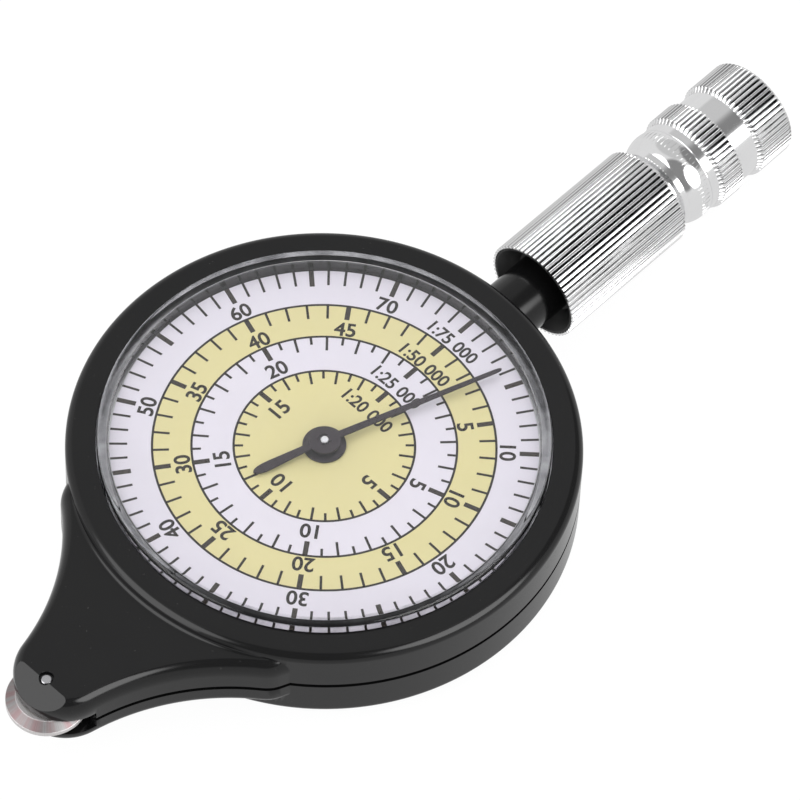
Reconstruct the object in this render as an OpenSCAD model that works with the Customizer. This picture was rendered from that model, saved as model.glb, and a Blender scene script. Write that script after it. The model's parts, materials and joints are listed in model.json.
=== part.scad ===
// Opisometer: a two-faced map measurer with a geared pointer train,
// a measuring wheel between the jaws of its beak and a swivelling turned grip.
//
// Frame: the arbor of the pointers is the Z axis. The grip points along +Y and
// the measuring wheel along -Y. The rear crystal rests on Z = 0, front dial up.
// Most modules draw round the parting plane of the two shells; at_mid() lifts
// them to half the case's thickness.

/* [Case] */
// Outer radius of the round case
case_r = 25.0; // [24.6:0.1:25.6]
// Thickness from the front crystal to the rear crystal
case_t = 11.6; // [11.6:0.1:13]
// Thickness of the case's side wall
case_wall = 1.7; // [1.5:0.05:1.9]
// Width of the bezel round each window
bezel_w = 2.5; // [2.3:0.05:2.6]
// Height that the bezel falls away from the window to the side wall
bezel_drop = 0.8; // [0.4:0.05:1.2]
// Rounding between the bezel's slope and the side wall
bezel_round = 0.9; // [0.5:0.05:1.2]
// Depth of the tongue that joins the two shells
tongue_h = 0.8; // [0.5:0.05:1.2]
// Thickness of the tongue that joins the two shells
tongue_w = 0.6; // [0.4:0.05:0.7]

/* [Beak] */
// Height of the beak's front face over the parting plane
beak_front_h = 3.85; // [3.7:0.05:4.2]
// Depth of the beak's rear face under the parting plane
beak_rear_h = 2.5; // [2.4:0.05:3.2]
// Radius of the concave sweep along each flank
flank_r = 24.2; // [23.4:0.1:24.6]
// Sideways distance of the flank sweep's centre
flank_x = 28.4; // [28.2:0.1:29.2]
// Distance of the flank sweep's centre beyond the wheel's axle
flank_beyond = 4.1; // [3.6:0.1:4.6]
// Width of the beak where it meets the round case
neck_w = 29.0; // [28:0.1:29.6]
// Radius of the blunt nose
nose_r = 5.2; // [5.2:0.05:5.8]
// Distance of the nose's tip beyond the wheel's axle
nose_beyond = 2.5; // [2.4:0.05:2.9]
// Slope of the front face where it falls to the nose's tip
nose_slope = 40; // [30:1:41]
// Distance of the slope's upper edge beyond the wheel's axle
slope_beyond = 0.3; // [0.2:0.05:0.6]
// Rounding along the beak's edges
beak_round = 0.6; // [0.3:0.05:0.9]
// Fillet where the bezel stands on the beak
foot_fillet = 0.7; // [0.4:0.05:0.9]
// Thickness of the beak's side walls
beak_wall = 1.3; // [1.1:0.05:1.4]
// Thickness of the beak's front and rear walls
beak_skin = 0.95; // [0.8:0.05:1.05]

/* [Crystal and dial] */
// Free ring between the crystal and its window
crystal_gap = 0.15; // [0.1:0.01:0.2]
// Thickness of the crystal's wall and top
crystal_wall = 0.75; // [0.6:0.05:0.8]
// Thickness of the flange that is trapped under the bezel
crystal_flange_t = 1.0; // [0.8:0.05:1.3]
// Rounding along the crystal's upper edge
crystal_round = 0.3; // [0.1:0.05:0.4]
// Free ring between the dial and the crystal's wall
dial_gap = 0.85; // [0.6:0.05:1.1]
// Thickness of the dial
dial_t = 0.5; // [0.3:0.05:0.6]
// Radius of the hole in the middle of the dial
dial_hole_r = 1.75; // [1.5:0.05:2.2]
// Height of the dial's printed face over the parting plane
dial_z = 3.45; // [3.4:0.05:3.6]

/* [Movement] */
// Free ring between the movement plates and the case wall
plate_gap = 0.5; // [0.3:0.05:0.7]
// Thickness of the movement plates
plate_t = 0.8; // [0.6:0.05:0.9]
// Radius of the pillars between the plates
pillar_r = 1.1; // [0.9:0.05:1.4]
// Distance of the pillars from the rim of the plates
pillar_inset = 3.8; // [2.8:0.1:4.4]
// Angle of the pillars from the X axis
pillar_angle = 32; // [26:1:40]
// Radius of the plate screws' shanks
screw_r = 0.5; // [0.4:0.05:0.6]
// Radius of the plate screws' heads, sunk in the plates
screw_head_r = 1.0; // [0.85:0.05:1.1]
// Distance of the first gear's pin from the outside of the round case
train_inset = 3.6; // [3.2:0.1:4.4]
// Module of the fine teeth from the wheel's pinion to the first gear
fine_module = 0.3; // [0.29:0.005:0.31]
// Teeth of the idler
idler_teeth = 31; // [29:1:31]
// Width of every gear rim
gear_w = 0.75; // [0.6:0.05:0.8]
// Thinning of each tooth at its pitch circle
tooth_thinning = 0.06; // [0.04:0.005:0.08]
// Radius of the steel pins that carry the gears
pin_r = 0.5; // [0.4:0.05:0.6]
// Radius of the measuring wheel's axle
axle_r = 0.55; // [0.45:0.05:0.6]
// Radius of the gear hubs
hub_r = 1.1; // [1.0:0.05:1.3]
// Radius of the centre arbor
arbor_r = 0.75; // [0.65:0.05:0.85]
// Running clearance of everything that turns on a pin
running_gap = 0.03; // [0.02:0.005:0.05]

/* [Pointer] */
// Distance of the pointer's tip from the rim of the dial
pointer_inset = 1.55; // [0.8:0.05:3]
// Length of the pointer's tail
pointer_tail = 7.8; // [6:0.1:9]
// Width of the long arm beside its hub
pointer_w = 0.95; // [0.7:0.05:1.2]
// Width of the long arm beside its tip
pointer_tip_w = 0.5; // [0.35:0.05:0.7]
// Widest part of the tail
pointer_tail_w = 1.25; // [0.9:0.05:1.5]
// Thickness of the pointer's blade
pointer_t = 0.22; // [0.15:0.01:0.3]
// Height of the pointer's blade over the dial
pointer_lift = 1.1; // [0.9:0.05:1.15]
// Radius of the pointer's hub
pointer_hub_r = 1.38; // [1.2:0.02:1.6]
// Angle of the front pointer, clockwise from the grip
pointer_angle = 18; // [0:1:90]

/* [Measuring wheel] */
// Distance that the wheel rolls in one turn
wheel_travel = 25.0; // [24.6:0.1:25.4]
// Thickness of the wheel round its hub
wheel_t = 1.8; // [1.6:0.05:1.9]
// Thickness of the wheel at its rim
wheel_rim_t = 0.5; // [0.3:0.05:0.9]
// Width of the bevel on each side of the wheel
wheel_bevel = 1.0; // [0.6:0.05:1.3]
// Free space on each side of the wheel
wheel_side_gap = 0.25; // [0.15:0.05:0.4]
// Reach of the open slot along the beak's flanks, past the wheel's axle
slot_reach = 1.7; // [1.2:0.1:2.2]

/* [Handle] */
// Radius of the black stem outside the case
stem_r = 3.19; // [3:0.01:3.3]
// Radius of the stem's spindle inside the grip
spindle_r = 2.8; // [2.5:0.05:2.9]
// Length of the bare stem between the case and the grip
stem_len = 4.63; // [3.5:0.01:6]
// Radius over the grip's serrations
grip_r = 5.45; // [5.35:0.05:5.8]
// Number of serrations round the grip
serrations = 60; // [40:2:72]
// Depth of the serrations
serration_depth = 0.26; // [0.15:0.01:0.3]
// Length of the long serrated sleeve
sleeve_len = 16.45; // [14:0.05:20]
// Length of the smooth waist beyond the sleeve
waist_len = 5.55; // [5.55:0.05:6.5]
// Length of the narrow serrated ring
ring_len = 3.05; // [2.4:0.05:4]
// Length of the smooth collar before the end cap
collar_len = 2.7; // [2:0.05:4]
// Length of the serrated end cap
cap_len = 4.75; // [4:0.05:6]
// Chamfer at the ends of the serrated bands
band_chamfer = 0.42; // [0.2:0.02:0.6]
// Radius of the smooth collar
collar_r = 4.98; // [4.6:0.02:5.05]
// Radius of the bead in the waist
bead_r = 5.12; // [4.9:0.02:5.14]
// Radius of the bush's seat inside the grip
bush_r = 4.77; // [4.6:0.01:4.85]
// Length of the bush
bush_len = 9.9; // [9:0.1:12]
// Depth of the bowl in the bush's mouth
bowl_depth = 1.9; // [1.2:0.1:2.6]
// Thickness of the retaining clip
clip_t = 0.45; // [0.35:0.05:0.6]
// Radius of the retaining clip
clip_r = 4.1; // [3.6:0.05:4.3]

/* [Hidden] */

round_fn = 96;              // true circles; the number only sets the preview
eps = 0.01;
past = 1;                   // how far a cut runs past the face that it opens
seat_gap = 0.02;            // clearance of pieces that sit in a seat
half_t = case_t / 2;        // parting plane to crystal
bore_r = case_r - case_wall;
window_r = case_r - bezel_w;
crystal_r = window_r - crystal_gap;
crystal_flange_r = bore_r - 5 * seat_gap;
dial_r = crystal_r - crystal_wall - dial_gap;
plate_r = bore_r - plate_gap;
pillar_orbit = plate_r - pillar_inset;
pointer_len = dial_r - pointer_inset;
grip_y = case_r + stem_len;              // mouth of the grip
plate_top = dial_z - dial_t;
plate_bottom = plate_top - plate_t;
lip_z = plate_top + crystal_flange_t;

// Gear train. The counts give 40 turns of the wheel for one of the pointers, as
// the scales on the dials need; the idler's own count leaves that unchanged.
wheel_teeth = 12;
first_teeth = 32;
first_pinion_teeth = 10;
second_teeth = 40;
second_pinion_teeth = 12;
centre_teeth = 45;
pressure_angle = 25;
tooth_module = 2 * (case_r - train_inset)
  / (centre_teeth + second_pinion_teeth + second_teeth + first_pinion_teeth);
function addendum(m) = 0.8 * m;
function dedendum(m) = 1.05 * m;
function pitch_r(teeth, m) = teeth * m / 2;
function tip_r(teeth, m) = pitch_r(teeth, m) + addendum(m);
function apart(a, b, m) = pitch_r(a, m) + pitch_r(b, m);
second_y = -apart(centre_teeth, second_pinion_teeth, tooth_module);
first_y = second_y - apart(second_teeth, first_pinion_teeth, tooth_module);
idler_y = first_y - apart(first_teeth, idler_teeth, fine_module);
wheel_y = idler_y - apart(idler_teeth, wheel_teeth, fine_module);
tip_room = 0.15;                         // free space round the tips of the teeth

// Measuring wheel and the levels of the gears over the parting plane.
wheel_r = wheel_travel / (2 * PI);
slot_gap = 0.4;
slot_r = wheel_r + slot_gap;             // round slot behind the wheel
jaw_z = wheel_t / 2 + wheel_side_gap;    // inner face of each jaw of the beak
level_gap = 0.1;                         // end float of hubs and gears
stage_gap = 0.575;                       // free height from one gear to the next
top_level = wheel_t / 2 + level_gap;     // underside of the wheel's pinion
gear_top = top_level + gear_w;
hub_top = gear_top + level_gap;
pocket_z = hub_top + level_gap;          // ceiling over the fine gears in the beak
middle_level = top_level - gear_w - stage_gap;
low_level = middle_level - gear_w - stage_gap;
hub_end = plate_bottom - level_gap;

// Beak stations along Y, all measured from the wheel's axle.
nose_reach = nose_beyond - wheel_y;
nose_y = nose_reach - nose_r;            // centre of the nose's rounding
flank_y = flank_beyond - wheel_y;
sunk_end = 0.25;                         // depth of the axle's ends in their holes
axle_ring = 0.15;                        // dark ring round the axle's ends
axle_sink = 0.5;                         // depth of the holes round the axle's ends

// Pointer levels over the parting plane.
blade_z = dial_z + pointer_lift;
arbor_proud = 0.15;                      // arbor's end over the blade
arbor_end = blade_z + pointer_t + arbor_proud;
pointer_pipe = 0.3;                      // wall of the pipe under the blade

// Handle stations along Y.
sleeve_end = grip_y + sleeve_len;
ring_start = sleeve_end + waist_len;
collar_start = ring_start + ring_len;
cap_start = collar_start + collar_len;
grip_end = cap_start + cap_len;
shoulder_y = grip_y + bowl_depth;        // stem's shoulder under the bowl
bush_end = grip_y + bush_len;
clip_play = 0.07;                        // end float of the grip on its spindle
groove_y = bush_end + clip_play;         // clip's groove behind the bush
spindle_past = 1.1;                      // spindle's end behind the clip
spindle_end = groove_y + clip_t + spindle_past;
foot_w = 9;                              // stem's foot inside the case wall
groove_depth = 0.35;                     // of the clip's groove in the spindle
clip_room = 0.3;                         // free ring round the clip
foot_t = 1.4;                            // thickness of the stem's foot
fit_gap = 0.05;                          // between the foot and the case wall
foot_in_r = bore_r - foot_t;
mouth_lip = 0.35;                        // rim of the bowl in the bush's mouth

module at_mid() translate([0, 0, half_t]) children();
module flip_z() mirror([0, 0, 1]) children();

// A hollow or solid disc about Z from z0 to z1.
module disc(r, z0, z1) translate([0, 0, z0]) cylinder(r = r, h = z1 - z0, $fn = round_fn);

// A round bar along Y from y0 to y1 at the height of the parting plane.
module y_bar(r, y0, y1) translate([0, y0, 0]) rotate([-90, 0, 0])
  cylinder(r = r, h = y1 - y0, $fn = round_fn);

// What a quarter circle of radius r leaves of its square: the square's corner
// is at the origin and the waste lies in the +X +Y quarter.
module corner_waste(r) difference() {
  translate([-r, -r]) square(r + past);
  translate([-r, -r]) circle(r, $fn = round_fn);
}

// ---------------------------------------------------------------- gear teeth

// Angle of the involute at radius r for base radius rb, in degrees.
function involute(r, rb) = let (a = acos(min(1, rb / r))) tan(a) * 180 / PI - a;

// Half the angle that a tooth spans at radius r.
function half_tooth(teeth, m, r) =
  let (rp = pitch_r(teeth, m), rb = rp * cos(pressure_angle))
  90 / teeth - tooth_thinning / 2 / rp * 180 / PI + involute(rp, rb) - involute(max(r, rb), rb);

// Outline of a gear; the middle of one tooth points along +Y plus phase.
function gear_points(teeth, m, phase) =
  let (rp = pitch_r(teeth, m), rb = rp * cos(pressure_angle), root = rp - dedendum(m),
       radii = root < rb ? [root, rb, rp, tip_r(teeth, m)] : [root, rp, tip_r(teeth, m)],
       n = len(radii))
  [for (i = [0:teeth - 1]) for (j = [0:2 * n - 1])
    let (r = radii[j < n ? j : 2 * n - 1 - j], side = j < n ? -1 : 1,
         a = 90 + phase + i * 360 / teeth + side * half_tooth(teeth, m, r))
    [r * cos(a), r * sin(a)]];

module gear(teeth, m, phase, z0) translate([0, 0, z0])
  linear_extrude(gear_w) polygon(gear_points(teeth, m, phase));

// Phase of a gear that meshes at its +Y side with gear a, which stands above it.
function mesh_phase(a_teeth, a_phase, teeth) =
  ((180 - a_phase) * a_teeth / 360 - 0.5) * 360 / teeth;

second_pinion_phase = mesh_phase(centre_teeth, 0, second_pinion_teeth);
first_pinion_phase = mesh_phase(second_teeth, 0, first_pinion_teeth);
idler_phase = mesh_phase(first_teeth, 0, idler_teeth);
wheel_phase = mesh_phase(idler_teeth, idler_phase, wheel_teeth);

// --------------------------------------------------------------------- case

// Section of one half of the round case, from the parting plane outwards.
module case_section() difference() {
  slope = atan(bezel_drop / (case_r - window_r));
  shoulder = half_t - bezel_drop;
  turn = (90 - slope) / 2;                 // half the angle of the corner
  inset = bezel_round * tan(turn);         // tangent length from the corner
  polygon([[window_r, 0], [case_r, 0], [case_r, shoulder], [window_r, half_t]]);
  difference() {
    polygon([[case_r, shoulder - inset], [case_r + past, shoulder - inset],
      [case_r + past, shoulder + past], [case_r, shoulder + eps],
      [case_r - inset * cos(slope), shoulder + inset * sin(slope)],
      [case_r - bezel_round, shoulder - inset]]);
    translate([case_r - bezel_round, shoulder - inset]) circle(bezel_round, $fn = round_fn);
  }
}

// Plan of the hollow in the beak, one wall thickness inside its outline.
module beak_hollow() difference() {
  union() {
    translate([-neck_w / 2 + beak_wall, -nose_y]) square([neck_w - 2 * beak_wall, nose_y - bore_r / 2]);
    translate([0, -nose_y]) circle(nose_r - beak_wall, $fn = round_fn);
  }
  for (side = [-1, 1]) translate([side * flank_x, -flank_y]) circle(flank_r + beak_wall, $fn = round_fn);
}

// Outer form of the beak: a slab and a nose with rounded upper edges.
module beak_body(h) difference() {
  intersection() {
    union() {
      translate([-neck_w, -nose_y, 0]) cube([neck_w * 2, nose_y - bore_r / 2, h]);
      translate([0, -nose_y, 0]) rotate_extrude($fn = round_fn) difference() {
        square([nose_r, h]);
        translate([nose_r, h]) corner_waste(beak_round);
      }
      foot_cove(h);
    }
    translate([-neck_w / 2, -nose_reach - past, -past]) cube([neck_w, nose_reach, half_t + past]);
  }
  for (side = [-1, 1]) translate([side * flank_x, -flank_y, 0]) rotate_extrude($fn = round_fn) {
    translate([0, -past]) square([flank_r, h + half_t]);
    translate([flank_r, h]) mirror([1, 0]) corner_waste(beak_round);
    translate([flank_r - eps, h + eps]) square([beak_round + eps, half_t]);
  }
}

// Concave fillet between the beak's face and the standing bezel.
module foot_cove(h) translate([0, 0, h]) rotate_extrude($fn = round_fn) difference() {
  translate([case_r - past, -eps]) square([past + foot_fillet, foot_fillet + eps]);
  translate([case_r + foot_fillet, foot_fillet]) circle(foot_fillet, $fn = round_fn);
}

// Arcs of the tongue: they leave out the stem and the mouth of the beak.
tongue_start = 14;          // angle from the stem to each arc
tongue_span = 120;          // angle of each arc
tongue_room = 0.1;          // free space under the tongue

module tongue_arcs(w, h) for (start = [90 + tongue_start, 90 - tongue_start - tongue_span])
  rotate([0, 0, start]) rotate_extrude(angle = tongue_span, $fn = round_fn)
    translate([(bore_r + case_r - w) / 2, -h]) square([w, h + eps]);

// One shell. Everything on its inside is cut from the same values as what it holds.
module half_shell(beak_h) difference() {
  union() {
    rotate_extrude($fn = round_fn) case_section();
    difference() {
      beak_body(beak_h);
      disc(bore_r, -past, half_t + past);
    }
  }
  disc(bore_r, -past, lip_z);
  translate([0, 0, -past]) linear_extrude(past + max(beak_h - beak_skin, jaw_z)) difference() {
    beak_hollow();
    translate([0, wheel_y]) circle(slot_r, $fn = round_fn);
  }
  disc_at(wheel_y, slot_r, -past, jaw_z);
  translate([-case_r, -case_r * 2, -past])
    cube([case_r * 2, case_r * 2 + wheel_y + slot_reach, past + jaw_z]);
  y_bar(stem_r + seat_gap, foot_in_r, case_r + past);
  disc_at(wheel_y, axle_r, -past, half_t);
  disc_at(wheel_y, axle_r + axle_ring, beak_h - axle_sink, half_t);
}

module disc_at(y, r, z0, z1) translate([0, y, 0]) disc(r, z0, z1);

boss_bore = 0.6;            // depth of the idler pin's hole in its boss

// Boss inside a shell that carries one end of the idler's pin.
module pin_boss(z0, z1, depth) translate([0, idler_y, 0]) difference() {
  disc(hub_r, z0, z1);
  disc(pin_r, z0 - past, z0 + depth);
}

// Room in the front shell for the fine gears beside the wheel.
module fine_gear_room() {
  disc_at(wheel_y, tip_r(wheel_teeth, fine_module) + tip_room, -past, pocket_z);
  disc_at(idler_y, tip_r(idler_teeth, fine_module) + tip_room, -past, pocket_z);
}

// Sloping cut that lets the front face fall to the nose's tip.
module nose_cut() translate([0, wheel_y - slope_beyond, beak_front_h]) rotate([nose_slope, 0, 0])
  translate([-neck_w, -2 * nose_r, 0]) cube([2 * neck_w, 2 * nose_r, half_t]);

module front_shell() color([0.13, 0.13, 0.14]) at_mid() {
  difference() {
    half_shell(beak_front_h);
    fine_gear_room();
    nose_cut();
  }
  pin_boss(hub_top, beak_front_h - beak_skin + eps, boss_bore);
  tongue_arcs(tongue_w, tongue_h);
}

module rear_shell() color([0.13, 0.13, 0.14]) at_mid() difference() {
  flip_z() half_shell(beak_rear_h);
  tongue_arcs(tongue_w + 2 * seat_gap, tongue_h + tongue_room);
  disc_at(idler_y, pin_r, -beak_rear_h + axle_sink, past);
}

// --------------------------------------------------------- crystals and dials

module crystal() rotate_extrude($fn = round_fn) difference() {
  union() {
    translate([0, plate_top]) square([crystal_r, half_t - plate_top]);
    translate([0, plate_top]) square([crystal_flange_r, crystal_flange_t]);
  }
  translate([-past, plate_top - past])
    square([crystal_r - crystal_wall + past, half_t - plate_top - crystal_wall + past]);
  translate([crystal_r, half_t]) corner_waste(crystal_round);
}

module front_crystal() color([0.8, 0.85, 0.9, 0.35]) at_mid() crystal();
module rear_crystal() color([0.8, 0.85, 0.9, 0.35]) at_mid() flip_z() crystal();

module dial() difference() {
  disc(dial_r, plate_top, dial_z);
  disc(dial_hole_r, plate_top - past, dial_z + past);
}

module front_dial() color([0.88, 0.86, 0.78]) at_mid() dial();
module rear_dial() color([0.88, 0.86, 0.78]) at_mid() flip_z() dial();

// ----------------------------------------------------------- movement frame

module at_pillars() for (sx = [-1, 1], sy = [-1, 1])
  translate([sx * pillar_orbit * cos(pillar_angle), sy * pillar_orbit * sin(pillar_angle), 0]) children();

bush_wall = 0.85;           // radial thickness of the arbor's bushes
sink = plate_t * 0.6;       // depth of the screw heads' seats
screw_reach = 1.4;          // length of each screw in its pillar
screw_room = 0.2;           // free depth under each screw
slot_w = 0.24;              // driver slot in the screw heads
slot_depth = 0.2;
bush_top = plate_top + dial_t / 2;

module plate() difference() {
  disc(plate_r, plate_bottom, plate_top);
  disc(arbor_r + bush_wall, plate_bottom - past, plate_top + past);
  for (y = [first_y, second_y]) disc_at(y, pin_r, plate_bottom - past, plate_top + past);
  at_pillars() disc(screw_r + seat_gap, plate_bottom - past, plate_top + past);
  at_pillars() disc(screw_head_r + seat_gap, plate_top - sink, plate_top + past);
}

module front_plate() color([0.7, 0.7, 0.72]) at_mid() plate();
module rear_plate() color([0.7, 0.7, 0.72]) at_mid() flip_z() plate();

module plate_pillars() color([0.75, 0.62, 0.32]) at_mid() at_pillars() difference() {
  disc(pillar_r, -plate_bottom, plate_bottom);
  disc(screw_r, -plate_bottom - past, -plate_bottom + screw_reach + screw_room);
  disc(screw_r, plate_bottom - screw_reach - screw_room, plate_bottom + past);
}

module screws() at_pillars() {
  disc(screw_r, plate_bottom - screw_reach, plate_top - sink + eps);
  difference() {
    disc(screw_head_r, plate_top - sink, plate_top - seat_gap);
    translate([-screw_head_r - past, -slot_w / 2, plate_top - slot_depth])
      cube([2 * (screw_head_r + past), slot_w, past]);
  }
}

module front_screws() color([0.7, 0.7, 0.72]) at_mid() screws();
module rear_screws() color([0.7, 0.7, 0.72]) at_mid() flip_z() screws();

module bush() difference() {
  disc(arbor_r + bush_wall, plate_bottom, bush_top);
  disc(arbor_r + running_gap, plate_bottom - past, dial_z + past);
}

module front_bush() color([0.72, 0.58, 0.3]) at_mid() bush();
module rear_bush() color([0.72, 0.58, 0.3]) at_mid() flip_z() bush();

// --------------------------------------------------------------- gear train

module wheel_axle() color([0.8, 0.8, 0.82]) at_mid()
  disc_at(wheel_y, axle_r, -beak_rear_h + sunk_end, beak_front_h - sunk_end);

// The wheel has bevelled sides and a hub that its pinion is pressed on.
module measuring_wheel() color([0.75, 0.75, 0.78]) at_mid() translate([0, wheel_y, 0]) difference() {
  union() {
    rotate_extrude($fn = round_fn) polygon([[0, -wheel_t / 2], [wheel_r - wheel_bevel, -wheel_t / 2],
      [wheel_r, -wheel_rim_t / 2], [wheel_r, wheel_rim_t / 2],
      [wheel_r - wheel_bevel, wheel_t / 2], [0, wheel_t / 2]]);
    disc(hub_r, 0, hub_top);
    disc(hub_r, -jaw_z + level_gap / 2, 0);
  }
  disc(axle_r + running_gap, -half_t, half_t);
}

module wheel_pinion() color([0.75, 0.62, 0.32]) at_mid() translate([0, wheel_y, 0]) difference() {
  gear(wheel_teeth, fine_module, wheel_phase, top_level);
  disc(hub_r, 0, half_t);
}

module idler_pin() color([0.7, 0.7, 0.72]) at_mid()
  disc_at(idler_y, pin_r, -beak_rear_h + axle_sink + level_gap / 2, hub_top + boss_bore - level_gap);

// The idler's hub runs down to the floor of the rear shell's hollow.
idler_floor = max(beak_rear_h - beak_skin, jaw_z);

module idler_gear() color([0.78, 0.65, 0.35]) at_mid() translate([0, idler_y, 0]) difference() {
  union() {
    gear(idler_teeth, fine_module, idler_phase, top_level);
    disc(hub_r, -idler_floor + level_gap, gear_top);
  }
  disc(pin_r + running_gap, -half_t, half_t);
}

module train_pin(y) color([0.7, 0.7, 0.72]) at_mid()
  disc_at(y, pin_r, -plate_top + fit_gap, plate_top - fit_gap);
module first_pin() train_pin(first_y);
module second_pin() train_pin(second_y);

module first_gear() color([0.78, 0.65, 0.35]) at_mid() translate([0, first_y, 0]) difference() {
  union() {
    gear(first_teeth, fine_module, 0, top_level);
    gear(first_pinion_teeth, tooth_module, first_pinion_phase, middle_level);
    disc(hub_r, -hub_end, hub_end);
  }
  disc(pin_r + running_gap, -half_t, half_t);
}

module second_gear() color([0.78, 0.65, 0.35]) at_mid() translate([0, second_y, 0]) difference() {
  union() {
    gear(second_teeth, tooth_module, 0, middle_level);
    gear(second_pinion_teeth, tooth_module, second_pinion_phase, low_level);
    disc(hub_r, -hub_end, hub_end);
  }
  disc(pin_r + running_gap, -half_t, half_t);
}

centre_hub_r = hub_r + 0.5;  // the hub is pressed on the arbor

module centre_gear() color([0.78, 0.65, 0.35]) at_mid() difference() {
  union() {
    gear(centre_teeth, tooth_module, 0, low_level);
    disc(centre_hub_r, -hub_end, low_level + gear_w + stage_gap);
  }
  disc(arbor_r, -half_t, half_t);
}

module centre_arbor() color([0.8, 0.8, 0.82]) at_mid() disc(arbor_r, -arbor_end, arbor_end);

// ----------------------------------------------------------------- pointers

// The blade lies along +Y, with a spade tail and a pointed tip.
module pointer_blade() translate([0, 0, blade_z]) linear_extrude(pointer_t) union() {
  circle(pointer_hub_r, $fn = round_fn);
  polygon([[-pointer_w / 2, 0], [pointer_w / 2, 0],
    [pointer_tip_w / 2, pointer_len - pointer_tip_w], [0, pointer_len],
    [-pointer_tip_w / 2, pointer_len - pointer_tip_w]]);
  polygon([[-pointer_w * 0.4, 0], [-pointer_tail_w / 2, -pointer_tail * 0.86], [0, -pointer_tail],
    [pointer_tail_w / 2, -pointer_tail * 0.86], [pointer_w * 0.4, 0]]);
}

module pointer() difference() {
  union() {
    pointer_blade();
    disc(arbor_r + pointer_pipe, bush_top + level_gap, blade_z + eps);
  }
  disc(arbor_r, 0, half_t);
}

module front_pointer() color([0.35, 0.31, 0.35]) at_mid() rotate([0, 0, -pointer_angle]) pointer();
module rear_pointer() color([0.35, 0.31, 0.35]) at_mid() flip_z() rotate([0, 0, -pointer_angle]) pointer();

// ------------------------------------------------------------------- handle

// The stem's foot lies inside the case wall, between the two plates.
module handle_stem() color([0.1, 0.1, 0.11]) at_mid() difference() {
  union() {
    y_bar(stem_r, bore_r - fit_gap, shoulder_y);
    y_bar(spindle_r, shoulder_y - eps, spindle_end);
    intersection() {
      translate([-foot_w / 2, 0, -plate_bottom]) cube([foot_w, case_r, 2 * plate_bottom]);
      difference() {
        disc(bore_r - fit_gap, -half_t, half_t);
        disc(foot_in_r, -half_t - past, half_t + past);
      }
    }
    intersection() {
      y_bar(stem_r, foot_in_r, bore_r + case_wall / 2);
      translate([-foot_w / 2, 0, -plate_bottom]) cube([foot_w, case_r, 2 * plate_bottom]);
    }
  }
  translate([0, groove_y, 0]) rotate([-90, 0, 0]) difference() {
    cylinder(r = spindle_r + past, h = clip_t + seat_gap, $fn = round_fn);
    translate([0, 0, -past]) cylinder(r = spindle_r - groove_depth, h = clip_t + 2 * past, $fn = round_fn);
  }
}

module stem_clip() color([0.6, 0.6, 0.62]) at_mid() translate([0, groove_y, 0]) rotate([-90, 0, 0])
  linear_extrude(clip_t) difference() {
    circle(clip_r, $fn = round_fn);
    circle(spindle_r - groove_depth + seat_gap, $fn = round_fn);
    translate([-spindle_r * 0.7, 0]) square([spindle_r * 1.4, clip_r + past]);
  }

// The bush is turned about Y; its mouth is a shallow bowl round the stem.
module grip_bush() color([0.09, 0.09, 0.1]) at_mid() translate([0, grip_y, 0]) rotate([-90, 0, 0])
  rotate_extrude($fn = round_fn) difference() {
    translate([spindle_r + running_gap, 0]) square([bush_r - spindle_r - running_gap, bush_len]);
    polygon([[0, -past], [bush_r - mouth_lip, -past], [bush_r - mouth_lip, 0],
      [bush_r - 2 * mouth_lip, bowl_depth * 0.55], [stem_r + mouth_lip, bowl_depth + eps],
      [0, bowl_depth + eps]]);
  }

// Turned steps of the waist: radii under the serrations' roots, lengths after the sleeve.
root_r = grip_r - serration_depth;
groove_r = root_r - 1.1;                 // narrow groove behind the sleeve
groove_end = sleeve_end + 0.9;
band_r = root_r - 0.6;                   // small band between groove and bead
band_end = groove_end + 0.85;
waist_r = root_r - 0.85;                 // core under the bead
waist_end = band_end + 0.1;
bead_arc = 3.0;                          // radius of the bead's curve
bead_y = band_end + 1.82;
bead_end = ring_start - 1.0;
rim_r = collar_r + 0.05;                 // rim between the bead and the ring
end_chamfer = band_chamfer * 0.6;
bore_past = 2.4;                         // depth of the bore behind the clip

// Section of the turned grip; X is the radius, Y the distance along the handle.
module grip_section() difference() {
  union() {
    translate([0, grip_y]) square([grip_r, sleeve_len]);
    polygon([[0, sleeve_end - eps], [groove_r, sleeve_end - eps], [groove_r, groove_end],
      [band_r, groove_end + 0.05], [band_r, band_end], [waist_r, waist_end], [0, waist_end]]);
    intersection() {
      translate([bead_r - bead_arc, bead_y]) circle(bead_arc, $fn = round_fn);
      translate([0, band_end]) square([bead_r + past, bead_end - band_end]);
    }
    translate([0, band_end]) square([waist_r, ring_start - band_end]);
    translate([0, bead_end]) square([rim_r, ring_start - bead_end + eps]);
    polygon([[0, ring_start], [rim_r, ring_start], [grip_r, ring_start + band_chamfer],
      [grip_r, collar_start], [0, collar_start]]);
    translate([0, collar_start - eps]) square([collar_r, collar_len + 2 * eps]);
    polygon([[0, cap_start], [collar_r, cap_start], [grip_r, cap_start + band_chamfer],
      [grip_r, grip_end - end_chamfer], [grip_r - end_chamfer, grip_end], [0, grip_end]]);
  }
  translate([-past, grip_y - past]) square([bush_r + past, bush_len + past]);
  translate([-past, grip_y]) square([clip_r + clip_room + past, bush_len + clip_t + bore_past]);
}

// Outline of the serrated bar, with one V groove between flat crests.
function serrated_points(r, depth, count) =
  [for (i = [0:count - 1]) for (p = [[0, depth], [0.36, 0], [0.64, 0]])
    let (a = (i + p[0]) * 360 / count) [(r - p[1]) * cos(a), (r - p[1]) * sin(a)]];

module handle_grip() color([0.8, 0.8, 0.82]) at_mid() rotate([-90, 0, 0]) intersection() {
  rotate_extrude($fn = round_fn) grip_section();
  translate([0, 0, grip_y - past]) linear_extrude(grip_end - grip_y + 2 * past)
    polygon(serrated_points(grip_r + seat_gap, serration_depth, serrations));
}

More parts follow.
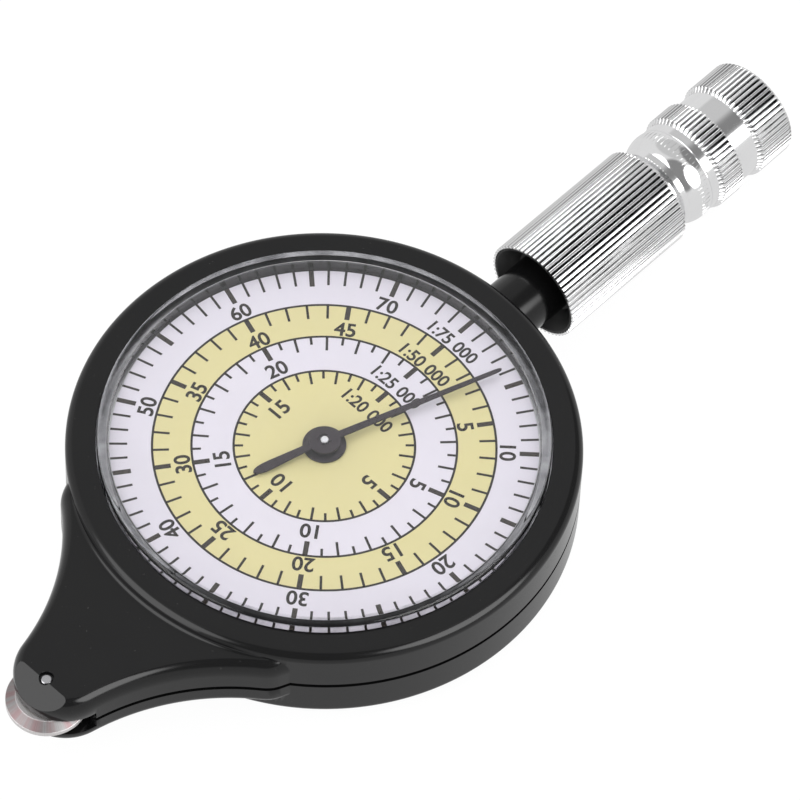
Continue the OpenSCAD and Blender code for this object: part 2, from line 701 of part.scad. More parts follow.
front_shell();
rear_shell();
front_crystal();
rear_crystal();
front_dial();
rear_dial();
front_plate();
rear_plate();
plate_pillars();
front_screws();
rear_screws();
front_bush();
rear_bush();
wheel_axle();
measuring_wheel();
wheel_pinion();
idler_pin();
idler_gear();
first_pin();
first_gear();
second_pin();
second_gear();
centre_arbor();
centre_gear();
front_pointer();
rear_pointer();
handle_stem();
stem_clip();
grip_bush();
handle_grip();
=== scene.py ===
# %% [markdown]
# # Dressing a map measurer
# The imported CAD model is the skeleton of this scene: thirty named nodes on seven moving bodies.
# Most of what the eye meets is turned or moulded, so it is made again here with finer curves,
# softened edges and real finishes, while the movement inside keeps its CAD nodes.

# %% Load the frame
import contextlib
import json
from math import atan2, cos, degrees, pi, radians, sin, tan

import bmesh
import bpy
from mathutils import Matrix, Vector


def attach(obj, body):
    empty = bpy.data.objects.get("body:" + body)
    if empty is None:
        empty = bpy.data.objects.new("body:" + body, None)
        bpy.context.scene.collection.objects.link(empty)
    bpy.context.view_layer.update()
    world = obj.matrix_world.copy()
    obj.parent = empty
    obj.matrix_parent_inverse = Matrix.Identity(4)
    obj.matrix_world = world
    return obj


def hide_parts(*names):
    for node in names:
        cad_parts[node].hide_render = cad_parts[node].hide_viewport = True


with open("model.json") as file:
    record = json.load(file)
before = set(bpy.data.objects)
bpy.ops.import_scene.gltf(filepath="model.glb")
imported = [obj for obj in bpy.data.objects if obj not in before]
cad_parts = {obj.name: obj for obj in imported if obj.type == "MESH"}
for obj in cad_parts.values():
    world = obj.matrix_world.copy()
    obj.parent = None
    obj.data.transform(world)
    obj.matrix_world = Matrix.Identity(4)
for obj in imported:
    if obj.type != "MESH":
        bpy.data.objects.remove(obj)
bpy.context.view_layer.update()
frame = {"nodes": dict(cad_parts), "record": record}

MM = 0.001
print("nodes:", len(frame["nodes"]))

# %% [markdown]
# ## Sizes
# All sizes repeat the named values of the CAD source, in millimetres. Heights are counted from the
# parting plane of the two case halves, which lies half the case's thickness above the table.

# %% Sizes of the case
HALF = 5.8
CASE_R = 25.0
WINDOW_R = 22.05
BORE_R = 23.3
LIP = 3.95
BEZEL_TOP = 4.87
BEZEL_ROUND = 1.0
FRONT_BEAK = 3.85
REAR_BEAK = 2.5
WHEEL_Y = -37.3
IDLER_Y = -30.85
DIAL_FACE = 3.45
RING = 16.61
WHEEL_R = 3.979
WHEEL_HALF = 0.9
HUB_TOP = 1.85
print("case:", 2 * CASE_R, "mm across,", 2 * HALF, "mm thick")

# %% [markdown]
# ## The camera
# The photograph is a long-lens view from the wheel's side, far enough away that the round case
# hardly narrows. The camera stands where the dial's four circles fit their ellipses best.

# %% Camera
camera_data = bpy.data.cameras.new("photo_camera")
camera_data.sensor_width = 36.0
camera_data.lens = 271.31
camera_data.clip_start = 0.01
camera = bpy.data.objects.new("photo_camera", camera_data)
bpy.context.scene.collection.objects.link(camera)
stand = Vector((0.222756, -0.237996, 0.491376))
aim = Vector((0.001349, 0.009123, 0.00925))
upright = Vector((-0.582751, 0.582804, 0.566340))
forward = (aim - stand).normalized()
across = forward.cross(upright).normalized()
upright = across.cross(forward)
camera.matrix_world = Matrix((
    (across.x, upright.x, -forward.x, stand.x),
    (across.y, upright.y, -forward.y, stand.y),
    (across.z, upright.z, -forward.z, stand.z),
    (0, 0, 0, 1)))
bpy.context.scene.camera = camera
bpy.context.scene.view_settings.view_transform = "Standard"
print("camera to dial:", round((aim - stand).length, 3), "m")

# %% [markdown]
# ## Node trees as sums
# Shader and geometry maths reads best as plain Python. A Wire holds one socket and knows how to add,
# subtract, multiply and divide, and a Graph makes every other node from its type, what goes into its
# sockets and its settings.

# %% A wire between nodes
def maths(operation, swapped=False):
    """One kind of Math node as a method of Wire."""
    def combined(self, other=0.0):
        pair = {0: other, 1: self} if swapped else {0: self, 1: other}
        return self.graph.add("ShaderNodeMath", pair, operation=operation)["Value"]
    return combined


class Wire:
    """One output socket, usable in Python expressions."""

    def __init__(self, graph, socket):
        self.graph = graph
        self.socket = socket

    __add__ = maths("ADD")
    __radd__ = maths("ADD", True)
    __sub__ = maths("SUBTRACT")
    __rsub__ = maths("SUBTRACT", True)
    __mul__ = maths("MULTIPLY")
    __rmul__ = maths("MULTIPLY", True)
    __truediv__ = maths("DIVIDE")
    __mod__ = maths("FLOORED_MODULO")
    __lt__ = maths("LESS_THAN")
    __gt__ = maths("GREATER_THAN")
    least = maths("MINIMUM")
    most = maths("MAXIMUM")
    root = maths("SQRT")
    turn_from = maths("ARCTAN2")

    def ramp(self, low, high):
        """0 below low, 1 above high, and smooth between them."""
        ends = {"Value": self, "From Min": low, "From Max": high}
        return self.graph.add("ShaderNodeMapRange", ends, interpolation_type="SMOOTHSTEP")["Result"]


# %% A graph of nodes
class Made:
    """A node whose outputs are wires."""

    def __init__(self, graph, node):
        self.graph = graph
        self.node = node

    def __getitem__(self, key):
        for socket in self.node.outputs:
            if socket.identifier == key or socket.name == key:
                if socket.enabled:
                    return Wire(self.graph, socket)
        raise KeyError(key)


class Graph:
    """A node tree that is written as calls."""

    def __init__(self, tree):
        self.tree = tree

    def add(self, kind, inputs=None, **settings):
        node = self.tree.nodes.new(kind)
        for name, value in settings.items():
            setattr(node, name, value)
        for key, value in (inputs or {}).items():
            self.feed(self.find(node, key), value)
        return Made(self, node)

    def find(self, node, key):
        if isinstance(key, int):
            return node.inputs[key]
        for socket in node.inputs:
            if key in (socket.identifier, socket.name) and socket.enabled:
                return socket
        raise KeyError((node.bl_idname, key))

    def feed(self, socket, value):
        if isinstance(value, Wire):
            self.tree.links.new(value.socket, socket)
        elif isinstance(value, list):
            for each in value:
                self.tree.links.new(each.socket, socket)
        else:
            socket.default_value = value


# %% [markdown]
# ## Finishes
# Each finish is worked out from Object coordinates, which are metres here, so a noise scale of 1000
# gives features about a millimetre wide. Only colour, roughness and bump change over a surface.

# %% Starting a finish
finishes = {}


def start_finish(name, **constants):
    """A new material with its graph and its principled shader."""
    material = bpy.data.materials.new(name)
    material.use_nodes = True
    shader = material.node_tree.nodes["Principled BSDF"]
    for key, value in constants.items():
        shader.inputs[key.replace("_", " ")].default_value = value
    finishes[name] = material
    return Graph(material.node_tree), shader


def show_mixed(graph, factor, shader, other):
    """Lets the material show its shader mixed with another one."""
    body = Wire(graph, shader.outputs["BSDF"])
    mixed = graph.add("ShaderNodeMixShader", {0: factor, 1: body, 2: other})["Shader"]
    graph.feed(graph.tree.nodes["Material Output"].inputs["Surface"], mixed)


def feed_finish(graph, shader, colour, shine, normal=None):
    graph.feed(shader.inputs["Base Color"], colour)
    graph.feed(shader.inputs["Roughness"], shine)
    if normal:
        graph.feed(shader.inputs["Normal"], normal)


def place_on(graph, stretch=(1, 1, 1)):
    """Object coordinates, stretched where the grain has a direction."""
    place = graph.add("ShaderNodeTexCoord")["Object"]
    return graph.add("ShaderNodeMapping", {"Vector": place, "Scale": stretch})["Vector"]


def distance_out(graph):
    """How far a point lies from the arbor's axis, in millimetres."""
    flat = place_on(graph, (1, 1, 0))
    return graph.add("ShaderNodeVectorMath", {0: flat}, operation="LENGTH")["Value"] / MM


def noise(graph, where, scale, detail=4.0):
    kind = {"Vector": where, "Scale": scale, "Detail": detail, "Roughness": 0.55}
    return graph.add("ShaderNodeTexNoise", kind)["Fac"]


def blend(graph, factor, first, second):
    pair = {"Factor": factor, "A": first, "B": second}
    return graph.add("ShaderNodeMix", pair, data_type="RGBA")["Result"]


def bump(graph, height, strength, depth):
    relief = {"Height": height, "Strength": strength, "Distance": depth}
    return graph.add("ShaderNodeBump", relief)["Normal"]


# %% [markdown]
# ### Black plastic
# The case is injection moulded in black and polished in the mould. It isn't a mirror: a very fine
# grain and a few soft handling marks spread the reflections of the studio into a dark grey.

# %% Black plastic of the case
def black_plastic(name, shine, tone):
    graph, shader = start_finish(name, IOR=1.42)
    where = place_on(graph)
    grain = noise(graph, where, 5200.0, 3.0)
    cloud = noise(graph, where, 140.0, 5.0)
    hair = noise(graph, place_on(graph, (1, 0.06, 1)), 2600.0, 2.0)
    marks = hair.ramp(0.68, 0.74) * cloud.ramp(0.5, 0.75)
    dust = noise(graph, where, 2300.0, 1.0).ramp(0.77, 0.8)
    dark = (tone * 0.8, tone * 0.8, tone * 0.84, 1)
    pale = (tone * 1.2, tone * 1.2, tone * 1.24, 1)
    colour = blend(graph, dust * 0.05, blend(graph, cloud, dark, pale), (0.4, 0.4, 0.38, 1))
    dull = shine + grain * 0.04 + cloud * 0.05 + marks * 0.1
    feed_finish(graph, shader, colour, dull, bump(graph, grain * 0.6 + marks, 0.05, 0.00002))


black_plastic("case_black", 0.11, 0.006)
black_plastic("stem_black", 0.10, 0.005)
black_plastic("bush_black", 0.42, 0.009)
print("black finishes:", [name for name in finishes])

# %% [markdown]
# ### Chrome and steel
# The grip and the wheel are turned from bar, so the finest lines run round them. On chrome they are
# almost polished away, on the steel of the movement they stay.

# %% Turned metal
def turned_metal(name, colour, shine, lines, stretch):
    graph, shader = start_finish(name, Metallic=1.0)
    grain = noise(graph, place_on(graph, stretch), 3000.0, 3.0)
    cloud = noise(graph, place_on(graph), 260.0, 4.0)
    low = tuple(part * 0.93 for part in colour) + (1,)
    high = tuple(min(1.0, part * 1.03) for part in colour) + (1,)
    feed_finish(graph, shader, blend(graph, cloud, low, high), shine + cloud * 0.04 + grain * lines,
                bump(graph, grain, lines * 0.5, 0.00001))


turned_metal("grip_chrome", (0.90, 0.90, 0.905), 0.05, 0.03, (0.05, 1, 0.05))
turned_metal("movement_steel", (0.60, 0.60, 0.62), 0.18, 0.14, (1, 1, 0.1))
turned_metal("movement_nickel", (0.62, 0.62, 0.64), 0.24, 0.16, (0.1, 1, 1))
turned_metal("movement_brass", (0.74, 0.56, 0.25), 0.20, 0.12, (1, 0.12, 1))
turned_metal("pointer_gunmetal", (0.042, 0.036, 0.042), 0.30, 0.10, (1, 0.1, 1))
print("finishes so far:", len(finishes))

# %% [markdown]
# The wheel's bevel is ground across, from the hub to the rim, so that it grips the paper. Its outward
# streaks of silver and faint pink are painted reflections in its colour. In the grip's grooves the
# chrome's colour is darkened with painted shade, which is why each groove reads as a dark line.

# %% Painted bevel reflections and painted groove shade
def spoke_metal(name, centre_y):
    graph, shader = start_finish(name, Metallic=1.0)
    place = graph.add("ShaderNodeTexCoord")["Object"]
    apart = graph.add("ShaderNodeSeparateXYZ", {0: place})
    x, y = apart["X"], apart["Y"] - centre_y * MM
    round_it = graph.add("ShaderNodeCombineXYZ", {"X": x.turn_from(y)})["Vector"]
    broad = noise(graph, round_it, 3.2, 2.0)
    fine = noise(graph, round_it, 38.0, 3.0)
    away = (x * x + y * y).root() / MM
    bevel = away.ramp(WHEEL_R - 1.05, WHEEL_R - 0.9)
    bevel = bevel * (1 - away.ramp(WHEEL_R - 0.07, WHEEL_R - 0.02))
    # painted reflection: radial streaks of silver and faint pink in the bevel's colour
    silver_reflection = blend(graph, fine, (0.14, 0.135, 0.135, 1), (0.46, 0.45, 0.45, 1))
    pink_reflection = blend(graph, fine, (0.17, 0.11, 0.115, 1), (0.42, 0.32, 0.325, 1))
    ground = blend(graph, broad.ramp(0.42, 0.60), silver_reflection, pink_reflection)
    turned = blend(graph, fine, (0.62, 0.59, 0.59, 1), (0.88, 0.86, 0.86, 1))
    feed_finish(graph, shader, blend(graph, bevel, turned, ground), 0.42 + fine * 0.16,
                bump(graph, fine, 0.25, 0.00004))


def darken_grooves(name):
    """Paints shade into the grip's grooves: their own depth darkens and dulls the chrome."""
    tree = finishes[name].node_tree
    graph = Graph(tree)
    shader = tree.nodes["Principled BSDF"]
    depth = graph.add("ShaderNodeAttribute", attribute_name="groove")["Fac"]
    patchy = noise(graph, place_on(graph, (1, 0.25, 1)), 900.0, 3.0)
    depth = depth * (0.5 + patchy)
    clean = Wire(graph, shader.inputs["Base Color"].links[0].from_socket)
    shine = Wire(graph, shader.inputs["Roughness"].links[0].from_socket)
    # painted shade: the chrome darkens towards near black where the grooves are deep
    groove_shade = blend(graph, depth.ramp(0.38, 0.85), clean, (0.035, 0.035, 0.038, 1))
    feed_finish(graph, shader, groove_shade, shine + depth * 0.18)


spoke_metal("wheel_steel", WHEEL_Y)
darken_grooves("grip_chrome")
print("bevel ground, grooves darkened")

# %% [markdown]
# ### Clear acrylic
# The two crystals are cups of clear acrylic with a real wall, so the dial's rim bends where it is
# seen through the side wall, as it does in the photograph. The flat top is clean, and the wall's
# colour is painted a mottled grey, a painted shade for the dark that the wall bends in.

# %% Clear acrylic
def clear_acrylic(name):
    graph, shader = start_finish(name, IOR=1.40, Transmission_Weight=1.0, Specular_IOR_Level=0.12)
    where = place_on(graph)
    smear = noise(graph, where, 90.0, 4.0)
    dust = noise(graph, where, 3600.0, 2.0).ramp(0.74, 0.8)
    wall = distance_out(graph).ramp(20.85, 21.1)
    grey_mottle = noise(graph, where, 420.0, 5.0).ramp(0.3, 0.7)
    clean = blend(graph, smear, (0.985, 0.99, 1, 1), (1, 1, 1, 1))
    # painted shade: the wall's colour turns a mottled grey towards its outer radius
    painted_grey = blend(graph, grey_mottle, (0.44, 0.44, 0.45, 1), (0.86, 0.86, 0.87, 1))
    feed_finish(graph, shader, blend(graph, wall, clean, painted_grey),
                smear.ramp(0.55, 0.75) * 0.012 + dust * 0.05)
    clear = graph.add("ShaderNodeBsdfTransparent", {"Color": (0.97, 0.975, 0.99, 1)})["BSDF"]
    show_mixed(graph, graph.add("ShaderNodeLightPath")["Is Shadow Ray"], shader, clear)


clear_acrylic("crystal_clear")
print("acrylic made")

# %% [markdown]
# ### The printed dial
# The dial is a painted metal disc. Its ground changes from white to pale yellow at the three thin
# circles that part the scales, so the colour follows the distance from the arbor.

# %% Dial paint
WHITE = (0.80, 0.76, 0.85, 1)
YELLOW = (0.76, 0.68, 0.31, 1)
CIRCLES = (1.0, 0.7715, 0.527)


def dial_paint(name):
    graph, shader = start_finish(name, IOR=1.45)
    away = distance_out(graph)
    outer, middle, inner = (part * RING for part in CIRCLES)
    yellow = (away < outer) * (away > middle) + (away < inner)
    where = place_on(graph)
    cloud = noise(graph, where, 120.0, 5.0)
    fleck = noise(graph, where, 7000.0, 2.0)
    ground = blend(graph, yellow, WHITE, YELLOW)
    aged = blend(graph, cloud * 0.16, ground, (0.62, 0.60, 0.58, 1))
    flecked = blend(graph, fleck * 0.05, aged, (0.5, 0.48, 0.44, 1))
    feed_finish(graph, shader, flecked, 0.42 + cloud * 0.12, bump(graph, fleck, 0.05, 0.00001))


def dial_ink(name, colour):
    graph, shader = start_finish(name, IOR=1.3)
    cloud = noise(graph, place_on(graph), 2400.0, 3.0)
    thin = tuple(part * 1.7 for part in colour) + (1,)
    feed_finish(graph, shader, blend(graph, cloud, colour + (1,), thin), 0.4 + cloud * 0.15)


dial_paint("dial_print")
dial_ink("ink_fine", (0.008, 0.005, 0.004))
dial_ink("ink_bold", (0.020, 0.015, 0.012))
print("dial finishes made")

# %% [markdown]
# ## Making shapes
# Nearly every piece is round, so one helper turns a profile into a closed lathe shape, and another
# rounds the corners of a profile first. Real edges are never sharp, and that small radius is what
# catches the light.

# %% Profiles
def soften(points, radii, steps=5, closed=True):
    """Rounds the corners of a profile; radii gives one radius for each point, or one for all."""
    count = len(points)
    if isinstance(radii, (int, float)):
        radii = [radii] * count
    out = []
    for i, point in enumerate(points):
        radius = radii[i]
        if radius <= 0 or (not closed and i in (0, count - 1)):
            out.append(point)
            continue
        here = Vector(point)
        before = Vector(points[i - 1]) - here
        after = Vector(points[(i + 1) % count]) - here
        angle = before.angle(after)
        if angle > radians(176):
            out.append(point)
            continue
        cut = min(radius / tan(angle / 2), 0.48 * before.length, 0.48 * after.length)
        start = here + before.normalized() * cut
        end = here + after.normalized() * cut
        for k in range(steps + 1):
            t = k / steps
            bend = start * (1 - t) ** 2 + here * 2 * t * (1 - t) + end * t ** 2
            out.append((bend.x, bend.y))
    return out


def new_object(name, mesh):
    thing = bpy.data.objects.new(name, mesh)
    bpy.context.scene.collection.objects.link(thing)
    return thing


@contextlib.contextmanager
def editing(mesh):
    """Opens a mesh, lets its points and faces be changed, and writes them back."""
    work = bmesh.new()
    work.from_mesh(mesh)
    yield work
    work.to_mesh(mesh)
    work.free()


def mesh_from(name, verts, faces):
    """A mesh in metres from millimetres over the parting plane, with its faces pointing outwards."""
    mesh = bpy.data.meshes.new(name)
    mesh.from_pydata([(x * MM, y * MM, (z + HALF) * MM) for x, y, z in verts], [], faces)
    with editing(mesh) as work:
        bmesh.ops.remove_doubles(work, verts=work.verts, dist=1e-7)
        bmesh.ops.dissolve_degenerate(work, edges=work.edges, dist=1e-8)
        bmesh.ops.recalc_face_normals(work, faces=work.faces)
    return mesh


def smooth(mesh, angle=32.0):
    mesh.shade_smooth()
    mesh.set_sharp_from_angle(angle=radians(angle))


# %% Lathe
def lathe(name, profile, segments=240, centre=(0, 0, 0), along="Z"):
    """A closed profile of (radius, height) pairs turned about Z or Y."""
    verts = []
    faces = []
    count = len(profile)
    for k in range(segments):
        turn = 2 * pi * k / segments
        for r, h in profile:
            u, v = r * cos(turn), r * sin(turn)
            if along == "Z":
                verts.append((centre[0] + u, centre[1] + v, centre[2] + h))
            else:
                verts.append((centre[0] + v, centre[1] + h, centre[2] + u))
    for k in range(segments):
        a, b = k * count, ((k + 1) % segments) * count
        for i in range(count):
            j = (i + 1) % count
            if profile[i][0] > 0 or profile[j][0] > 0:
                faces.append((a + i, b + i, b + j, a + j))
    mesh = mesh_from(name, verts, faces)
    smooth(mesh)
    return new_object(name, mesh)


# %% Loft
def loft(name, rings):
    """A closed solid from rings with the same number of points, capped at both ends."""
    count = len(rings[0])
    last = count * (len(rings) - 1)
    faces = []
    for a in range(0, last, count):
        for i in range(count):
            j = (i + 1) % count
            faces.append((a + i, a + j, a + count + j, a + count + i))
    faces.append(tuple(reversed(range(count))))
    faces.append(tuple(range(last, last + count)))
    verts = [point for ring in rings for point in ring]
    return new_object(name, mesh_from(name, verts, faces))


# %% Modifiers
def apply_modifiers(piece):
    """Makes what the modifiers give the piece's own plain mesh."""
    bpy.context.view_layer.update()
    graph = bpy.context.evaluated_depsgraph_get()
    result = bpy.data.meshes.new_from_object(piece.evaluated_get(graph))
    piece.modifiers.clear()
    old = piece.data
    piece.data = result
    bpy.data.meshes.remove(old)


# %% Handing a piece over
def hand_over(piece, body, finish, stands_for=()):
    """Gives a finished piece its material, its body and the nodes that it stands for."""
    if finish:
        piece.data.materials.clear()
        piece.data.materials.append(finishes[finish])
    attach(piece, body)
    if stands_for:
        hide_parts(*stands_for)
    print(piece.name, "rides on", body, "with", len(piece.data.polygons), "faces")


# %% [markdown]
# ## Case halves
# Each half is a moulded ring with the beak standing on it. Ring, beak and the small fillet between
# them are made apart, joined with exact booleans and then hollowed with the cutters that make the
# bore, the wheel's slot and the room for the gears. A fine bevel then breaks every edge. Both halves
# are drawn in along the parting plane, so together they leave the dark square seam.

# %% Sizes of the beak
FLANK = (28.4, -41.4, 24.2)
NECK = 13.0
NOSE_TIP = -39.79
FOOT = 0.55
SEAM = 0.24
SEAM_DEPTH = 0.4


def arc(centre, radius, start, end, steps):
    """Points on a circle, from one angle to another, in degrees."""
    out = []
    for k in range(steps + 1):
        turn = radians(start + (end - start) * k / steps)
        out.append((centre[0] + radius * cos(turn), centre[1] + radius * sin(turn)))
    return out


def nose_circle():
    """Centre and radius of the nose circle that runs smoothly into both flank circles."""
    fx, fy, fr = FLANK
    gap = NOSE_TIP - fy
    radius = (fx * fx + gap * gap - fr * fr) / (2 * (fr - gap))
    return NOSE_TIP + radius, radius


NOSE = nose_circle()
print("nose radius:", round(NOSE[1], 3), "mm")


def neck_curve(inset):
    """The soft S in which a flank runs into the round case, on the right side."""
    fx, fy, fr = FLANK
    toward = degrees(atan2(-fy, -fx))
    start = radians(toward + 3.4)
    end = radians(toward - 180 + 6.4)
    away = fr + inset
    inner = CASE_R - 0.4 - inset
    first = Vector((fx + away * cos(start), fy + away * sin(start)))
    last = Vector((inner * cos(end), inner * sin(end)))
    pull = (last - first).length * 0.45
    leave = Vector((sin(start), -cos(start))) * pull
    arrive = Vector((-sin(end), cos(end))) * pull
    out = []
    for k in range(1, 13):
        t = k / 12
        point = first * (1 - t) ** 3 + (first + leave) * 3 * t * (1 - t) ** 2
        point += (last - arrive) * 3 * t ** 2 * (1 - t) + last * t ** 3
        out.append((point.x, point.y))
    return toward + 3.4, out


def beak_outline(inset, steps=40):
    """Outline of the beak, drawn in by an inset all round."""
    fx, fy, fr = FLANK
    turn = degrees(atan2(fy - NOSE[0], fx))
    nose = arc((0, NOSE[0]), NOSE[1] - inset, -180 - turn, turn, steps)
    high, neck = neck_curve(inset)
    flank = arc((fx, fy), fr + inset, 180 + turn, high, steps)
    right = flank[1:] + neck + [(NECK - inset, -12.0)]
    left = [(-x, y) for x, y in reversed(right)]
    return left + nose + right


# %% Beak solid
def stack(name, outlines):
    """A closed solid from outlines with the same number of points, at rising heights."""
    return loft(name, [[(x, y, z) for x, y in outline] for outline, z in outlines])


def beak_solid(height, roll):
    """The beak without its hollow; roll says how far its edges roll in and how far down."""
    drawn_in = beak_outline(SEAM_DEPTH)
    levels = [(drawn_in, 0.0), (drawn_in, SEAM), (beak_outline(0.0), SEAM)]
    for k in range(11):
        turn = radians(9 * k)
        inset = roll[0] * (1 - cos(turn))
        rise = height - roll[1] * (1 - sin(turn))
        levels.append((beak_outline(inset), rise))
    return stack("beak_solid", levels)


def foot_fillet(height):
    """Concave fillet between the beak's face and the bezel; it fades out toward the flanks."""
    rings = []
    reach = 31.5
    turns = 48
    steps = 8
    for k in range(turns + 1):
        share = -1 + 2 * k / turns
        size = FOOT * (1 - abs(share) ** 6) + 0.01
        turn = radians(-90 + reach * share)
        ring = [(CASE_R - 0.4, height - 0.3), (CASE_R + size, height - 0.3)]
        for i in range(steps + 1):
            a = radians(90 * i / steps)
            ring.append((CASE_R + size - size * sin(a), height + size - size * cos(a)))
        ring.append((CASE_R - 0.4, height + size))
        rings.append([(r * cos(turn), r * sin(turn), z) for r, z in ring])
    return loft("foot_fillet", rings)


# %% Case ring
def ring_profile():
    """The case's ring: seam, side, quarter-round edge, flat bezel and window."""
    centre = (CASE_R - BEZEL_ROUND, BEZEL_TOP - BEZEL_ROUND)
    out = [(CASE_R - SEAM_DEPTH, 0.0), (CASE_R - SEAM_DEPTH, SEAM), (CASE_R, SEAM)]
    out += arc(centre, BEZEL_ROUND, 0, 90, 14)
    edge = [(CASE_R - 2, BEZEL_TOP), (WINDOW_R, BEZEL_TOP), (WINDOW_R, 0.0)]
    return out + soften(edge, [0, 0.08, 0], 4, False)


# %% Booleans
def combine(target, tool, operation):
    """Applies one exact boolean and throws the tool away."""
    step = target.modifiers.new(operation, "BOOLEAN")
    step.operation = operation
    step.solver = "EXACT"
    step.object = tool
    apply_modifiers(target)
    bpy.data.objects.remove(tool)
    return target


def drum(radius, low, high, y=0.0, segments=96):
    """A round cutter on the line from the handle to the wheel."""
    profile = [(0, low), (radius, low), (radius, high), (0, high)]
    return lathe("drum", profile, segments, (0, y, 0))


def block(x, y, z):
    """A plain cutter between two corners on each axis."""
    verts = [(a, b, c) for a in x for b in y for c in z]
    faces = [(0, 1, 3, 2), (4, 6, 7, 5), (0, 4, 5, 1), (2, 3, 7, 6), (0, 2, 6, 4), (1, 5, 7, 3)]
    return new_object("block", mesh_from("block", verts, faces))


# %% Case half
JAW = 1.15
ROOF = 0.95
SLOT_R = 4.379
SLOPE = radians(40)
PINION_ROOM = 2.19
IDLER_ROOM = 5.04
ROOM_TOP = 1.95
AXLE_HOLE = 0.56
AXLE_SINK = 0.72


def hollow_cut(top):
    """The room for the gear train inside the beak, kept clear of the wheel's slot."""
    outline = beak_outline(1.6)
    room = stack("hollow", [(outline, -1.0), (outline, top)])
    return combine(room, drum(SLOT_R - 0.03, -2.0, 8.0, WHEEL_Y), "DIFFERENCE")


def sloping_cut(beak_height):
    """The wedge that leaves the falling face in front of the axle."""
    wedge = block((-20, 20), (-13, 0), (0, 6))
    wedge.data.transform(Matrix.Translation((0, 0, -HALF * MM)))
    wedge.data.transform(Matrix.Rotation(SLOPE, 4, "X"))
    place = (0, (WHEEL_Y - 0.3) * MM, (beak_height + HALF) * MM)
    wedge.data.transform(Matrix.Translation(place))
    return wedge


def case_half(name, beak_height, roll, rear):
    """One half of the case, before its edges are softened; always made as a front half."""
    half = lathe(name, ring_profile(), 288)
    combine(half, beak_solid(beak_height, roll), "UNION")
    combine(half, foot_fillet(beak_height), "UNION")
    combine(half, drum(BORE_R, -1.0, LIP, segments=288), "DIFFERENCE")
    combine(half, hollow_cut(beak_height - ROOF), "DIFFERENCE")
    if not rear:
        combine(half, drum(PINION_ROOM, -1.0, ROOM_TOP, WHEEL_Y, 48), "DIFFERENCE")
        combine(half, drum(IDLER_ROOM, -1.0, ROOM_TOP, IDLER_Y), "DIFFERENCE")
        combine(half, sloping_cut(beak_height), "DIFFERENCE")
    combine(half, drum(SLOT_R, -1.0, JAW, WHEEL_Y), "DIFFERENCE")
    combine(half, block((-25, 25), (-50, WHEEL_Y + 1.7), (-1, JAW)), "DIFFERENCE")
    sink = beak_height - 0.5
    bore = [(0, -1.0), (AXLE_HOLE, -1.0), (AXLE_HOLE, sink), (AXLE_SINK, sink), (AXLE_SINK, 6.0),
            (0, 6.0)]
    combine(half, lathe("axle_hole", bore, 48, (0, WHEEL_Y, 0)), "DIFFERENCE")
    stem = lathe("stem_cut", [(0, 21.9), (3.21, 21.9), (3.21, 26), (0, 26)], 96, along="Y")
    return combine(half, stem, "DIFFERENCE")


# %% Clean and soft edges
EDGE = 0.05


def close_up(mesh):
    """Fills the hairline gaps that booleans and bevels leave, and drops loose edges."""
    mesh.validate()
    with editing(mesh) as work:
        loose = [edge for edge in work.edges if not edge.link_faces]
        bmesh.ops.delete(work, geom=loose, context="EDGES")
        for turn in range(2):
            bmesh.ops.dissolve_degenerate(work, edges=work.edges, dist=1e-7)
            open_edges = [edge for edge in work.edges if edge.is_boundary]
            bmesh.ops.holes_fill(work, edges=open_edges, sides=0)
        bmesh.ops.recalc_face_normals(work, faces=work.faces)


def reflect(work):
    """Reflects an open mesh in the parting plane, for the rear face."""
    middle = HALF * MM
    for vert in work.verts:
        vert.co.z = 2 * middle - vert.co.z
    bmesh.ops.reverse_faces(work, faces=work.faces)


def break_edges(piece, rear):
    """Rounds the crisp edges that the booleans left, and shades the rest smooth."""
    with editing(piece.data) as work:
        bmesh.ops.remove_doubles(work, verts=work.verts, dist=2e-6)
        bmesh.ops.dissolve_limit(work, angle_limit=radians(0.4), verts=work.verts,
                                 edges=work.edges)
        if rear:
            reflect(work)
    close_up(piece.data)
    step = piece.modifiers.new("edges", "BEVEL")
    step.width = EDGE * MM
    step.segments = 2
    step.limit_method = "ANGLE"
    step.angle_limit = radians(40)
    apply_modifiers(piece)
    close_up(piece.data)
    smooth(piece.data, 28)
    even = piece.modifiers.new("flat faces stay flat", "WEIGHTED_NORMAL")
    even.keep_sharp = True
    even.weight = 80
    apply_modifiers(piece)


# %% The two halves
for side, height, roll in (("front", FRONT_BEAK, (1.15, 1.9)), ("rear", REAR_BEAK, (0.8, 1.0))):
    half = case_half(side + "_case", height, roll, side == "rear")
    break_edges(half, side == "rear")
    hand_over(half, "case", "case_black", [side + "_shell"])

# %% [markdown]
# ## Crystals
# A crystal is a shallow cup that stands a little proud of the bezel: a flat top, a small rounded
# edge, a thick straight wall and a flange that the case traps. The wall is solid acrylic painted grey,
# a painted shade that shows as a grey band, and below it the ends of the ticks are seen again through
# the wall's side.

# %% Crystals
def crystal_profile():
    wall, inner, flange = 21.95, 20.95, 23.18
    ceiling, foot = 5.05, 2.97
    points = [(0, HALF), (wall, HALF), (wall, LIP), (flange, LIP), (flange, foot), (inner, foot),
              (inner, ceiling), (0, ceiling)]
    return soften(points, [0, 0.55, 0.05, 0.05, 0.05, 0.05, 0.22, 0], 8)


def turn_over(piece):
    """Makes the rear piece from one that was made for the front."""
    with editing(piece.data) as work:
        reflect(work)
    smooth(piece.data)


for side in ("front", "rear"):
    crystal = lathe(side + "_clear_cup", crystal_profile(), 288)
    if side == "rear":
        turn_over(crystal)
    hand_over(crystal, "case", "crystal_clear", [side + "_crystal"])

# %% [markdown]
# ## Dials
# The dial is a thin disc. Its ticks, circles and numbers are printed on it. They are meshes of their
# own, as thick as a layer of ink, so they stay crisp at any distance.

